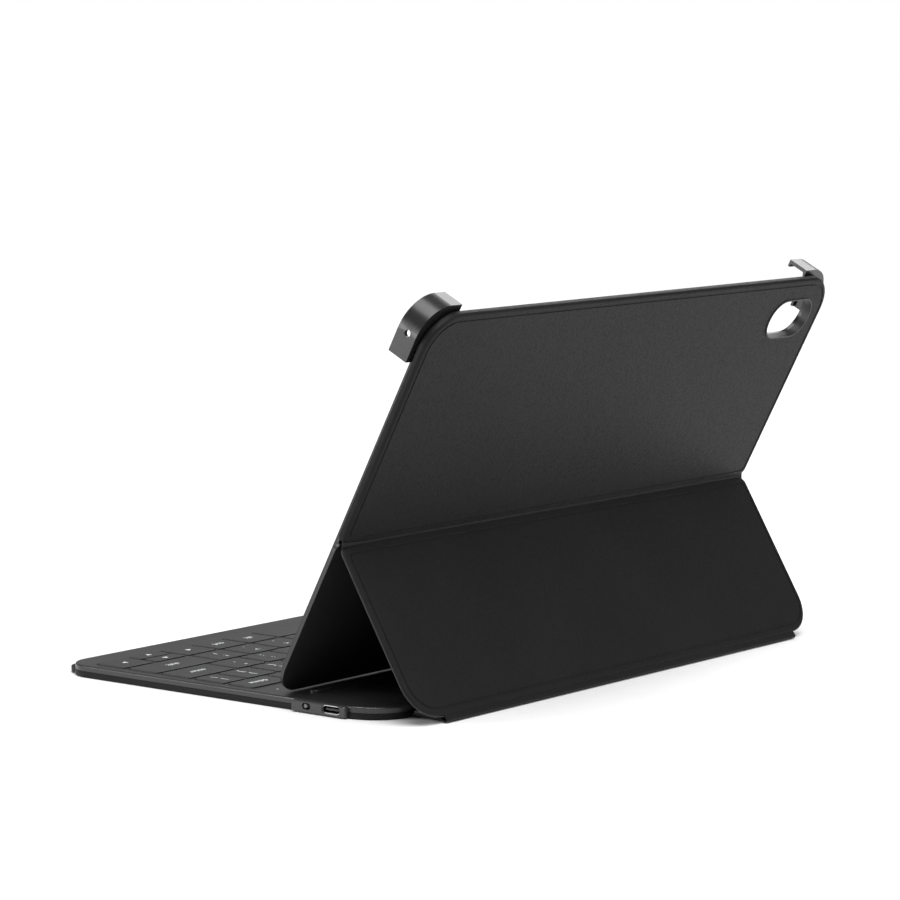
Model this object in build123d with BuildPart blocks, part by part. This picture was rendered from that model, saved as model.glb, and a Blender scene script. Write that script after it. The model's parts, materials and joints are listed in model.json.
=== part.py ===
"""Folio keyboard case for a tablet: a thin keyboard base, a leather spine, a stand panel and a tray
panel with corner clips, shown propped open.

Frame: origin on the table under the middle of the keyboard base, +X to the user's right, +Y away from
the user, +Z up. Millimetres.
"""
from build123d import *
from math import atan2, cos, degrees, hypot, radians, sin, sqrt
import os

os.makedirs("parts", exist_ok=True)

# ---------------------------------------------------------------- driving dimensions
# keyboard base
case_width = 272.0
base_front = -81.8
base_rear = 86.0
base_thickness = 5.0
front_corner_radius = 12.0
rear_corner_radius = 18.0
bottom_edge_radius = 1.1
lip_reach = 4.2
lip_underside = 0.6
lip_inset = 4.0
lip_corner_radius = 9.0

# soft cover of the base and the panels
skin = 0.5
base_cover_height = 2.5
base_board_thickness = 0.5
cover_seam = 0.15
panel_skin = 0.4
panel_lining = 0.4

# keyboard module
shell_floor = 0.5
shell_wall = 1.2
shell_inset = 0.7
deck_plate = 0.9
deck_inset = 0.2
deck_edge_radius = 0.7
plate_thickness = 0.3
membrane_thickness = 0.25
module_inset = 3.0

# keys
key_unit = 18.83
row_units = 14
row_pitch = 17.8
number_row_depth = 15.4
key_field_front = -68.8
key_gap = 1.9
arrow_split_gap = 1.3
key_corner = 1.3
key_edge_radius = 0.25
key_rise = 0.5
key_height = 1.5
key_top = 0.8
key_wall = 0.9
key_travel = 1.2
key_clearance = 0.35
dome_radius = 2.4
dome_wall = 0.4
dome_taper = 0.7
small_dome_radius = 1.6
scissor_width = 11.0
scissor_depth = 9.0
scissor_bar = 1.0
scissor_thickness = 0.5
scissor_play = 0.2
scissor_lean_share = 0.9

# ridge that stops the tray foot, and the rear of the deck
ridge_front = 37.0
ridge_depth = 5.5
ridge_height = 1.0
ridge_half_length = 123.0
ridge_corner = 2.5
indicator_x = 126.0
indicator_y = 25.0
indicator_radius = 0.5

# spine, a strip hinged at the base's rear edge and at the foot of the stand
spine_half_length = 120.0
spine_thickness = 1.6
spine_axis_back = 1.0
spine_axis_height = 2.1
spine_end_gap = 0.6
spine_corner = 1.5
foot_axis_y = 103.6
foot_axis_height = 1.3
foot_end_gap = 2.0

# stand panel
stand_length = 74.7
stand_thickness = 1.6
stand_corner_radius = 15.0
crease_gap = 0.6
crease_corner_radius = 3.0

# tray panel, measured along it from the crease
upper_length = 100.5
lower_length = 69.3
upper_thickness = 3.1
upper_corner_radius = 16.0
backing_clearance = 0.15
lower_corner_radius = 12.0
tray_plate = 1.9
tray_side_inset = 2.0
tray_foot_y = 32.3
tray_foot_clearance = 0.3

# corner clips on the tray
tablet_thickness = 7.6
clip_wall = 1.6
clip_play = 0.1
clip_floor = 0.7
clip_lip = 1.0
clip_lip_reach = 1.4
tray_foot_corner = 1.0
clip_top_leg = 20.0
clip_side_leg = 23.6
clip_corner_radius = 12.0
clip_hole_radius = 1.4
clip_hole_up = 88.7
clip_hole_depth = 8.6

# camera opening through the upper panel and the tray
camera_x = -112.8
camera_up = 81.5
camera_width = 30.5
camera_height = 19.0
camera_radius = 9.0

# side pod with the charging socket and the power switch
pod_front = 42.0
pod_rear = 69.3
pod_reach = 2.0
pod_depth = 5.0
pod_underside = 0.3
pod_top_drop = 0.1
pod_flange_margin = 1.6
pod_corner = 1.5
pod_edge = 0.5
pod_fit = 0.15
notch_top = 4.65
socket_y = 62.1
socket_height = 2.9
socket_width = 8.94
socket_tall = 3.16
socket_wall = 0.25
socket_length = 9.3
socket_recess = 0.5
socket_play = 0.1
tongue_width = 6.7
tongue_thickness = 0.7
tongue_recess = 0.8
switch_y = 49.9
slider_width = 1.8
slider_tall = 1.8
slider_travel = 1.6
slider_play = 0.4
slider_stem = 1.0
slider_edge = 0.3
switch_corner = 0.3
switch_wall = 1.0
switch_length = 6.6
switch_height = 2.4
switch_depth = 2.6

# electronics and magnets
board_thickness = 0.8
board_edge = 38.0
chip_size = 6.0
chip_pitch = 10.0
chip_inset = 12.0
membrane_tail_x = 111.0
membrane_tail_width = 9.0
board_reach = 25.0
battery_width = 92.0
battery_depth = 32.0
battery_thickness = 2.1
battery_x = 10.0
battery_edge = 0.6
battery_corner = 1.5
magnet_length = 22.0
magnet_depth = 4.0
magnet_thickness = 1.1
magnet_spacing = 62.0
magnet_count = 4
screw_radius = 0.7
screw_head_radius = 1.5
screw_head = 0.4
boss_radius = 2.2
boss_half_spread = 118.0
boss_middle_spread = 58.0
boss_inset = 8.0

# ---------------------------------------------------------------- worked-out heights and places
half_width = case_width / 2
deck_top = base_thickness
deck_underside = deck_top - deck_plate
board_top = skin + base_board_thickness
shell_top = board_top + shell_floor
plate_top = shell_top + plate_thickness
membrane_top = plate_top + membrane_thickness
deck_wall_foot = base_cover_height + cover_seam
key_top_height = deck_top + key_rise
key_underside = key_top_height - key_height
key_ceiling = key_top_height - key_top

spine_axis = (base_rear + spine_axis_back, spine_axis_height)
foot_axis = (foot_axis_y, foot_axis_height)
backing_back = stand_thickness + backing_clearance
tray_foot = (tray_foot_y, deck_top + tray_foot_clearance)


def meeting_point(first, first_reach, second, second_reach):
    """The upper point that lies first_reach from first and second_reach from second."""
    span = hypot(second[0] - first[0], second[1] - first[1])
    along = (first_reach**2 - second_reach**2 + span**2) / (2 * span)
    up = sqrt(first_reach**2 - along**2)
    dy = (second[0] - first[0]) / span
    dz = (second[1] - first[1]) / span
    return (first[0] + along * dy - up * dz, first[1] + along * dz + up * dy)


# The crease is on the outer faces. The stand's middle plane runs from the foot axis, and the tray
# leans on the rear bottom corner of its backing.
crease = meeting_point(
    tray_foot, hypot(lower_length, backing_back), foot_axis, hypot(stand_length, stand_thickness / 2)
)
stand_angle = atan2(crease[1] - foot_axis[1], foot_axis[0] - crease[0])
stand_angle = stand_angle - atan2(stand_thickness / 2, stand_length)
tray_angle = atan2(crease[1] - tray_foot[1], crease[0] - tray_foot[0])
tray_angle = tray_angle + atan2(backing_back, lower_length)
spine_angle = atan2(spine_axis[1] - foot_axis[1], foot_axis[0] - spine_axis[0])
spine_length = hypot(foot_axis[0] - spine_axis[0], foot_axis[1] - spine_axis[1])

# In these planes local X is the case's X and local Y runs along the panel. Local Z runs inwards from
# the middle of the stand and the spine, and from the outer face of the tray panel.
stand_plane = Plane(
    origin=(0, foot_axis[0], foot_axis[1]), x_dir=(1, 0, 0), z_dir=(0, -sin(stand_angle), -cos(stand_angle))
)
spine_plane = Plane(
    origin=(0, spine_axis[0], spine_axis[1]), x_dir=(1, 0, 0), z_dir=(0, sin(spine_angle), cos(spine_angle))
)
tray_plane = Plane(
    origin=(0, crease[0], crease[1]), x_dir=(1, 0, 0), z_dir=(0, -sin(tray_angle), cos(tray_angle))
)
print("crease", crease, "stand", degrees(stand_angle), "tray", degrees(tray_angle))
print("spine", degrees(spine_angle), spine_length, "spine axis", spine_axis, "foot axis", foot_axis)


def save(part_builder, name):
    """Label a finished piece and write its STEP file."""
    part_builder.part.label = name
    export_step(part_builder.part, f"parts/{name}.step")


def base_outline(inset):
    """Plan of the keyboard base with its small front corners and large rear corners."""
    with BuildSketch() as outline:
        with Locations((0, (base_front + base_rear) / 2)):
            Rectangle(case_width - 2 * inset, base_rear - base_front - 2 * inset)
        fillet(outline.vertices().group_by(Axis.Y)[0], front_corner_radius - inset)
        fillet(outline.vertices().group_by(Axis.Y)[-1], rear_corner_radius - inset)
    return outline.sketch


def panel_outline(low, high, half_length, low_radius, high_radius):
    """A panel from low to high along its plane, rounded by one radius at each end."""
    with BuildSketch() as outline:
        with Locations((0, (low + high) / 2)):
            Rectangle(2 * half_length, high - low)
        fillet(outline.vertices().group_by(Axis.Y)[0], low_radius)
        fillet(outline.vertices().group_by(Axis.Y)[-1], high_radius)
    return outline.sketch


# ---------------------------------------------------------------- the keys' places
# Each row, front to rear, lists its keys from the user's left: node, width in key units, how many.
key_rows = [
    [
        ("key_fn", 1, 1),
        ("key_ctrl_left", 1, 1),
        ("key_menu", 1, 1),
        ("key_alt_left", 1, 1),
        ("key_space", 5, 1),
        ("key_alt_right", 1, 1),
        ("key_ctrl_right", 1, 1),
        ("key_arrow_left", 1, 1),
        ("key_arrow_pair", 1, 1),
        ("key_arrow_right", 1, 1),
    ],
    [
        ("key_shift_left", 2, 1),
        ("keys_second_row_left", 1, 5),
        ("keys_second_row_right", 1, 5),
        ("key_shift_right", 2, 1),
    ],
    [
        ("key_caps", 1.5, 1),
        ("keys_third_row_left", 1, 5),
        ("keys_third_row_right", 1, 6),
        ("key_enter", 1.5, 1),
    ],
    [
        ("key_tab", 1.25, 1),
        ("keys_fourth_row_left", 1, 6),
        ("keys_fourth_row_right", 1, 6),
        ("key_backslash", 0.75, 1),
    ],
    [
        ("key_escape", 0.75, 1),
        ("keys_number_row_left", 1, 6),
        ("keys_number_row_right", 1, 6),
        ("key_backspace", 1.25, 1),
    ],
]

key_cells = {}
row_front = key_field_front
for row_number, row in enumerate(key_rows):
    row_depth = number_row_depth if row_number == len(key_rows) - 1 else row_pitch
    key_left = -row_units * key_unit / 2
    for node, units, count in row:
        for place in range(count):
            middle = (key_left + units * key_unit / 2, row_front + row_depth / 2)
            size = (units * key_unit - key_gap, row_depth - key_gap)
            if node == "key_arrow_pair":
                half = (size[1] - arrow_split_gap) / 2
                shift = (half + arrow_split_gap) / 2
                key_cells["key_arrow_down"] = [(middle[0], middle[1] - shift, size[0], half)]
                key_cells["key_arrow_up"] = [(middle[0], middle[1] + shift, size[0], half)]
            else:
                key_cells.setdefault(node, []).append((*middle, *size))
            key_left += units * key_unit
    row_front += row_depth
key_field_rear = row_front
all_cells = [cell for cells in key_cells.values() for cell in cells]

# places of the bosses that the screws go up into, all behind the keys
boss_columns = (-boss_half_spread, -boss_middle_spread, boss_middle_spread, boss_half_spread)
boss_places = [(x, y) for x in boss_columns for y in (key_field_rear + boss_inset, base_rear - boss_inset)]
magnet_places = [magnet_spacing * (i - (magnet_count - 1) / 2) for i in range(magnet_count)]

# ================================================================ keyboard base
cover_plan = base_outline(0)
cover_inside = base_outline(skin)
board_plan = base_outline(skin + cover_seam)
shell_plan = base_outline(shell_inset)
module_plan = base_outline(shell_inset + shell_wall)
deck_plan = base_outline(deck_inset)

# the notch in the right side that the pod's body and the socket fill
socket_face = half_width + pod_reach - socket_recess
socket_back = socket_face - socket_length
pod_middle = (pod_front + pod_rear) / 2
pod_body = pod_rear - pod_front - 2 * pod_flange_margin
with BuildPart() as pod_notch:
    with Locations((half_width - pod_depth, pod_middle, board_top)):
        Box(
            2 * pod_depth,
            pod_body + 2 * pod_fit,
            notch_top - board_top,
            align=(Align.MIN, Align.CENTER, Align.MIN),
        )
    with Locations((socket_back - socket_play, socket_y, board_top)):
        Box(
            socket_length,
            socket_width + 2 * pod_fit,
            notch_top - board_top,
            align=(Align.MIN, Align.CENTER, Align.MIN),
        )

# base_skin: soft cover under the keyboard, turned up round its sides, with a lip at the front edge
with BuildPart() as base_skin:
    with BuildSketch():
        add(cover_plan)
    extrude(amount=base_cover_height)
    fillet(base_skin.edges().group_by(Axis.Z)[0], bottom_edge_radius)
    with BuildSketch(Plane.XY.offset(lip_underside)):
        with Locations((0, base_front - lip_reach / 2 + lip_corner_radius / 2)):
            lip = Rectangle(2 * (half_width - lip_inset), lip_reach + lip_corner_radius)
        fillet(lip.vertices().group_by(Axis.Y)[0], lip_corner_radius)
    extrude(amount=base_cover_height - lip_underside)
    with BuildSketch(Plane.XY.offset(skin)):
        add(cover_inside)
    extrude(amount=base_cover_height, mode=Mode.SUBTRACT)
    add(pod_notch.part, mode=Mode.SUBTRACT)
save(base_skin, "base_skin")

# base_board: stiffener glued inside the soft cover
with BuildPart() as base_board:
    with BuildSketch(Plane.XY.offset(skin)):
        add(board_plan)
    extrude(amount=base_board_thickness)
save(base_board, "base_board")

# keyboard_bottom_shell: moulded floor and low wall of the keyboard module
with BuildPart() as keyboard_bottom_shell:
    with BuildSketch(Plane.XY.offset(board_top)):
        add(shell_plan)
    extrude(amount=deck_wall_foot - board_top)
    with BuildSketch(Plane.XY.offset(shell_top)):
        add(module_plan)
    extrude(amount=deck_wall_foot, mode=Mode.SUBTRACT)
    add(pod_notch.part, mode=Mode.SUBTRACT)
    with BuildSketch(Plane.XY.offset(board_top)):
        with Locations(*boss_places):
            Circle(screw_radius)
    extrude(amount=shell_floor, mode=Mode.SUBTRACT)
    with BuildSketch(Plane.XY.offset(board_top)):
        with Locations(*boss_places):
            Circle(screw_head_radius + cover_seam)
    extrude(amount=screw_head, mode=Mode.SUBTRACT)
save(keyboard_bottom_shell, "keyboard_bottom_shell")

# keyboard_deck: top shell with one window for each key, the ridge behind them and a rounded rim
with BuildPart() as keyboard_deck:
    with BuildSketch(Plane.XY.offset(deck_wall_foot)):
        add(deck_plan)
    extrude(amount=deck_top - deck_wall_foot)
    fillet(keyboard_deck.edges().group_by(Axis.Z)[-1], deck_edge_radius)
    with BuildSketch(Plane.XY.offset(deck_wall_foot)):
        add(module_plan)
    extrude(amount=deck_underside - deck_wall_foot, mode=Mode.SUBTRACT)
    with BuildSketch(Plane.XY.offset(deck_underside)):
        for x, y, width, depth in all_cells:
            with Locations((x, y)):
                RectangleRounded(width + 2 * key_clearance, depth + 2 * key_clearance, key_corner)
    extrude(amount=2 * deck_plate, mode=Mode.SUBTRACT)
    with BuildSketch(Plane.XY.offset(deck_top - ridge_height)):
        with Locations((0, ridge_front + ridge_depth / 2)):
            RectangleRounded(2 * ridge_half_length, ridge_depth, ridge_corner)
    extrude(amount=2 * ridge_height)
    fillet(keyboard_deck.edges().group_by(Axis.Z)[-1], ridge_height / 2)
    with BuildSketch(Plane.XY.offset(shell_top)):
        with Locations(*boss_places):
            Circle(boss_radius)
            Circle(screw_radius, mode=Mode.SUBTRACT)
    extrude(amount=deck_underside - shell_top)
    with Locations((indicator_x, indicator_y, deck_top)):
        Hole(indicator_radius, 2 * deck_plate)
    add(pod_notch.part, mode=Mode.SUBTRACT)
save(keyboard_deck, "keyboard_deck")

# shell_screws: small countersunk screws that hold the two shells together
with BuildPart() as shell_screws:
    with BuildSketch(Plane.XY.offset(board_top)):
        with Locations(*boss_places):
            Circle(screw_head_radius)
    extrude(amount=screw_head)
    with BuildSketch(Plane.XY.offset(board_top + screw_head)):
        with Locations(*boss_places):
            Circle(screw_radius)
    extrude(amount=deck_underside - board_top - screw_head)
save(shell_screws, "shell_screws")

# key_support_plate: thin steel plate under the keys
with BuildPart() as key_support_plate:
    field_middle = (key_field_front + key_field_rear) / 2
    with BuildSketch(Plane.XY.offset(shell_top)):
        with Locations((0, field_middle)):
            RectangleRounded(
                case_width - 2 * module_inset, key_field_rear - key_field_front + module_inset, module_inset
            )
    extrude(amount=plate_thickness)
save(key_support_plate, "key_support_plate")

# membrane_sheet: printed switch circuit on the plate, with a tail that runs back to the controller
board_front = (pod_front + pod_rear - board_reach) / 2
membrane_tail_reach = board_front - cover_seam - key_field_rear
with BuildPart() as membrane_sheet:
    with BuildSketch(Plane.XY.offset(plate_top)):
        with Locations((0, field_middle)):
            RectangleRounded(
                case_width - 3 * module_inset,
                key_field_rear - key_field_front + module_inset / 2,
                module_inset,
            )
        with Locations((membrane_tail_x, key_field_rear)):
            Rectangle(membrane_tail_width, membrane_tail_reach, align=(Align.CENTER, Align.MIN))
    extrude(amount=membrane_thickness)
save(membrane_sheet, "membrane_sheet")

# rubber_domes: one hollow dome under each key, smaller under the half-height arrow keys
dome_height = key_ceiling - membrane_top
full_places = [(x, y) for x, y, width, depth in all_cells if depth > row_pitch / 2]
half_places = [(x, y) for x, y, width, depth in all_cells if depth <= row_pitch / 2]
with BuildPart() as rubber_domes:
    for places, foot in ((full_places, dome_radius), (half_places, small_dome_radius)):
        with Locations(*[(x, y, membrane_top) for x, y in places]):
            Cone(foot, foot * dome_taper, dome_height, align=(Align.CENTER, Align.CENTER, Align.MIN))
        with Locations(*[(x, y, membrane_top) for x, y in places]):
            Cone(
                foot - dome_wall,
                foot * dome_taper - dome_wall,
                dome_height - 2 * dome_wall,
                align=(Align.CENTER, Align.CENTER, Align.MIN),
                mode=Mode.SUBTRACT,
            )
save(rubber_domes, "rubber_domes")

# scissor_frames: two crossed frames under each key, the inner one nested in the outer one
scissor_middle = (membrane_top + key_ceiling) / 2


def scissor_pair(width, depth):
    """A crossed pair of frames about the origin that fits under a key of this size."""
    outer = min(scissor_width, width - 2 * key_wall - 2 * scissor_play)
    deep = min(scissor_depth, depth - 2 * key_wall - 2 * scissor_play)
    inner = outer - 2 * scissor_bar - 2 * scissor_play
    lean = degrees(atan2(dome_height - 2 * scissor_thickness, deep)) * scissor_lean_share
    with BuildPart() as pair:
        for frame_width, frame_lean in ((outer, lean), (inner, -lean)):
            with BuildSketch(Plane.XY.rotated((frame_lean, 0, 0))):
                Rectangle(frame_width, deep)
                Rectangle(frame_width - 2 * scissor_bar, deep - 2 * scissor_bar, mode=Mode.SUBTRACT)
            extrude(amount=scissor_thickness / 2, both=True)
    return pair.part


sizes = {}
for x, y, width, depth in all_cells:
    fit = (min(width, key_unit), min(depth, row_pitch))
    sizes.setdefault(fit, []).append((x, y, scissor_middle))
scissor_pairs = [(scissor_pair(*fit), places) for fit, places in sizes.items()]
with BuildPart() as scissor_frames:
    for pair, places in scissor_pairs:
        with Locations(*places):
            add(pair)
save(scissor_frames, "scissor_frames")

# ---------------------------------------------------------------- side pod, socket and switch
pod_low = pod_underside
pod_high = deck_top - pod_top_drop
slider_front = switch_y - (slider_travel + slider_width) / 2

# port_pod: moulded block in the base's right side, with a flange over the cover
with BuildPart() as port_pod:
    with BuildSketch(Plane.YZ.offset(half_width)):
        with Locations((pod_middle, (pod_low + pod_high) / 2)):
            RectangleRounded(pod_rear - pod_front, pod_high - pod_low, pod_corner)
    extrude(amount=pod_reach)
    chamfer(port_pod.edges().group_by(Axis.X)[-1], pod_edge)
    with BuildSketch(Plane.YZ.offset(half_width - pod_depth)):
        with Locations((pod_middle, (board_top + notch_top) / 2)):
            Rectangle(pod_body, notch_top - board_top - 2 * pod_fit)
    extrude(amount=pod_depth)
    with BuildSketch(Plane.YZ.offset(half_width - pod_depth)):
        with Locations((socket_y, socket_height)):
            SlotOverall(socket_width + 2 * socket_play, socket_tall + 2 * socket_play)
    extrude(amount=2 * pod_depth, mode=Mode.SUBTRACT)
    with BuildSketch(Plane.YZ.offset(half_width - pod_depth)):
        with Locations((switch_y, socket_height)):
            SlotOverall(slider_travel + slider_width + 2 * slider_play, slider_tall + 2 * slider_play)
    extrude(amount=2 * pod_depth, mode=Mode.SUBTRACT)
save(port_pod, "port_pod")

# usb_c_socket: drawn steel shell of the charging socket
with BuildPart() as usb_c_socket:
    with BuildSketch(Plane.YZ.offset(socket_back)):
        with Locations((socket_y, socket_height)):
            SlotOverall(socket_width, socket_tall)
    extrude(amount=socket_length)
    with BuildSketch(Plane.YZ.offset(socket_back + socket_wall)):
        with Locations((socket_y, socket_height)):
            SlotOverall(socket_width - 2 * socket_wall, socket_tall - 2 * socket_wall)
    extrude(amount=socket_length, mode=Mode.SUBTRACT)
save(usb_c_socket, "usb_c_socket")

# usb_c_tongue: contact tongue inside the socket
with BuildPart() as usb_c_tongue:
    with BuildSketch(Plane.YZ.offset(socket_back + socket_wall)):
        with Locations((socket_y, socket_height)):
            RectangleRounded(tongue_width, tongue_thickness, tongue_thickness / 3)
    extrude(amount=socket_length - socket_wall - tongue_recess)
save(usb_c_tongue, "usb_c_tongue")

# controller_board: circuit board beside the pod, with the socket and the switch on its edge
with BuildPart() as controller_board:
    with BuildSketch(Plane.XY.offset(shell_top)):
        with Locations((socket_back - cover_seam, pod_middle)):
            Rectangle(board_edge, board_reach, align=(Align.MAX, Align.CENTER))
    extrude(amount=board_thickness)
save(controller_board, "controller_board")

# control_chips: controller, radio and charger packages on the board
with BuildPart() as control_chips:
    with BuildSketch(Plane.XY.offset(shell_top + board_thickness)):
        with Locations(*[(socket_back - chip_inset - chip_pitch * i, pod_middle) for i in range(3)]):
            Rectangle(chip_size, chip_size)
    extrude(amount=board_thickness)
save(control_chips, "control_chips")

# slide_switch_body: case of the power switch, on the board's edge behind the pod
with BuildPart() as slide_switch_body:
    switch_back = half_width - pod_depth - switch_depth - pod_fit
    with BuildSketch(Plane.YZ.offset(switch_back)):
        with Locations((switch_y, socket_height)):
            RectangleRounded(switch_length, switch_height, switch_corner)
    extrude(amount=switch_depth)
    with BuildSketch(Plane.YZ.offset(switch_back + switch_wall)):
        with Locations((switch_y, socket_height)):
            Rectangle(slider_travel + slider_width + 2 * slider_play, slider_stem + 2 * pod_fit)
    extrude(amount=switch_depth, mode=Mode.SUBTRACT)
save(slide_switch_body, "slide_switch_body")

# power_slider: nub in the pod's oval recess, on a stem that runs in the switch
with BuildPart() as power_slider:
    with BuildSketch(Plane.YZ.offset(half_width)):
        with Locations((slider_front + slider_width / 2, socket_height)):
            Circle(slider_width / 2)
    extrude(amount=pod_reach - socket_recess)
    fillet(power_slider.edges().group_by(Axis.X)[-1], slider_edge)
    with BuildSketch(Plane.YZ.offset(switch_back + 1 + pod_fit)):
        with Locations((slider_front + slider_width / 2, socket_height)):
            Rectangle(slider_width, slider_stem)
    extrude(amount=half_width - switch_back - 1 - pod_fit)
save(power_slider, "power_slider")

# indicator_lens: clear peg in the deck that shows the charge light
with BuildPart() as indicator_lens:
    with BuildSketch(Plane.XY.offset(deck_underside - deck_plate)):
        with Locations((indicator_x, indicator_y)):
            Circle(indicator_radius)
    extrude(amount=2 * deck_plate)
save(indicator_lens, "indicator_lens")

# battery_cell: flat pouch cell behind the keys, with a taped edge
with BuildPart() as battery_cell:
    with BuildSketch(Plane.XY.offset(shell_top)):
        with Locations((battery_x, ridge_front + ridge_depth + battery_depth / 2)):
            RectangleRounded(battery_width, battery_depth, battery_corner)
    extrude(amount=battery_thickness)
    fillet(battery_cell.edges().group_by(Axis.Z)[-1], battery_edge)
save(battery_cell, "battery_cell")

# deck_magnets: bar magnets glued under the deck, below the place where the tray foot stands
with BuildPart() as deck_magnets:
    with BuildSketch(Plane.XY.offset(deck_underside - magnet_thickness)):
        with Locations(*[(x, tray_foot_y) for x in magnet_places]):
            Rectangle(magnet_length, magnet_depth)
    extrude(amount=magnet_thickness)
save(deck_magnets, "deck_magnets")

# ================================================================ spine
spine_far = spine_length - foot_end_gap
spine_low = -spine_thickness / 2


def spine_sketch(inset):
    """The spine strip's outline, smaller all round by inset."""
    return panel_outline(
        spine_end_gap + inset,
        spine_far - inset,
        spine_half_length - inset,
        spine_corner - inset,
        spine_corner - inset,
    )


spine_face = spine_sketch(0)
spine_core = spine_sketch(panel_skin)

# spine_skin: outer leather of the spine, folded over the board's edges
with BuildPart() as spine_skin:
    with BuildSketch(spine_plane.offset(spine_low)):
        add(spine_face)
    extrude(amount=spine_thickness - panel_lining)
    with BuildSketch(spine_plane.offset(spine_low + panel_skin)):
        add(spine_core)
    extrude(amount=spine_thickness, mode=Mode.SUBTRACT)
save(spine_skin, "spine_skin")

# spine_board: stiffener inside the spine
with BuildPart() as spine_board:
    with BuildSketch(spine_plane.offset(spine_low + panel_skin)):
        add(spine_core)
    extrude(amount=spine_thickness - panel_skin - panel_lining)
save(spine_board, "spine_board")

# spine_lining: inner lining of the spine
with BuildPart() as spine_lining:
    with BuildSketch(spine_plane.offset(spine_low + spine_thickness - panel_lining)):
        add(spine_face)
    extrude(amount=panel_lining)
save(spine_lining, "spine_lining")

# ================================================================ stand panel
stand_top = stand_length - crease_gap
stand_low = -stand_thickness / 2


def stand_sketch(inset):
    """The stand panel's outline, smaller all round by inset."""
    return panel_outline(
        foot_end_gap + inset,
        stand_top - inset,
        half_width - inset,
        stand_corner_radius - inset,
        crease_corner_radius - inset,
    )


stand_face = stand_sketch(0)
stand_core = stand_sketch(panel_skin)

# stand_skin: outer leather of the stand, folded over the board's edges
with BuildPart() as stand_skin:
    with BuildSketch(stand_plane.offset(stand_low)):
        add(stand_face)
    extrude(amount=stand_thickness - panel_lining)
    with BuildSketch(stand_plane.offset(stand_low + panel_skin)):
        add(stand_core)
    extrude(amount=stand_thickness, mode=Mode.SUBTRACT)
save(stand_skin, "stand_skin")

# stand_board: stiffener inside the stand
with BuildPart() as stand_board:
    with BuildSketch(stand_plane.offset(stand_low + panel_skin)):
        add(stand_core)
    extrude(amount=stand_thickness - panel_skin - panel_lining)
save(stand_board, "stand_board")

# stand_lining: inner lining of the stand
with BuildPart() as stand_lining:
    with BuildSketch(stand_plane.offset(stand_low + stand_thickness - panel_lining)):
        add(stand_face)
    extrude(amount=panel_lining)
save(stand_lining, "stand_lining")

# ================================================================ tray panel
plate_back = upper_thickness
plate_face = upper_thickness + tray_plate
clip_rear = plate_face - clip_floor
pocket_half = half_width - clip_play
pocket_top = upper_length + clip_play
clip_half = pocket_half + clip_wall
clip_top = pocket_top + clip_wall
lip_face = plate_face + tablet_thickness + clip_lip


def upper_sketch(inset):
    """The upper panel's outline from the crease to its top edge, smaller all round by inset."""
    return panel_outline(
        crease_gap + inset,
        upper_length - inset,
        half_width - inset,
        crease_corner_radius - inset,
        upper_corner_radius - inset,
    )


def camera_sketch(margin):
    """The camera opening, larger all round by margin."""
    with BuildSketch() as opening:
        with Locations((camera_x, camera_up)):
            RectangleRounded(camera_width + 2 * margin, camera_height + 2 * margin, camera_radius + margin)
    return opening.sketch


upper_face = upper_sketch(0)
upper_core = upper_sketch(skin)
camera_hole = camera_sketch(0)
camera_core = camera_sketch(skin)
backing_face = panel_outline(
    -lower_length, -crease_gap, half_width, lower_corner_radius, crease_corner_radius
)
plate_outline = panel_outline(
    -lower_length + tray_side_inset,
    upper_length - tray_side_inset,
    half_width - tray_side_inset,
    lower_corner_radius - tray_side_inset,
    upper_corner_radius - tray_side_inset,
)
pocket_radius = clip_corner_radius
pocket_face = panel_outline(-lower_length, pocket_top, pocket_half, 1, pocket_radius)
lip_opening = panel_outline(
    -lower_length,
    pocket_top - clip_lip_reach,
    pocket_half - clip_lip_reach,
    tray_foot_corner,
    pocket_radius - clip_lip_reach,
)
clip_frame = panel_outline(-lower_length, clip_top, clip_half, 1, pocket_radius + clip_wall)
with BuildSketch() as clip_faces:
    add(clip_frame)
    with Locations((clip_half, clip_top), (-clip_half, clip_top)):
        Rectangle(2 * clip_top_leg, 2 * clip_side_leg, mode=Mode.INTERSECT)
magnet_spots = [(x, -lower_length + tray_side_inset + magnet_depth) for x in magnet_places]

# upper_skin: outer leather of the upper panel, folded over the board's edges and the camera opening
with BuildPart() as upper_skin:
    with BuildSketch(tray_plane):
        add(upper_face)
    extrude(amount=upper_thickness)
    with BuildSketch(tray_plane.offset(skin)):
        add(upper_core)
        add(camera_core, mode=Mode.SUBTRACT)
    extrude(amount=upper_thickness, mode=Mode.SUBTRACT)
    with BuildSketch(tray_plane):
        add(camera_hole)
    extrude(amount=upper_thickness, mode=Mode.SUBTRACT)
save(upper_skin, "upper_skin")

# upper_board: stiffener between the leather and the tray
with BuildPart() as upper_board:
    with BuildSketch(tray_plane.offset(skin)):
        add(upper_core)
        add(camera_core, mode=Mode.SUBTRACT)
    extrude(amount=upper_thickness - skin)
save(upper_board, "upper_board")

# tray_backing: bare stiff panel glued behind the lower half of the tray
with BuildPart() as tray_backing:
    with BuildSketch(tray_plane.offset(backing_back)):
        add(backing_face)
    extrude(amount=upper_thickness - backing_back)
save(tray_backing, "tray_backing")

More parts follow.
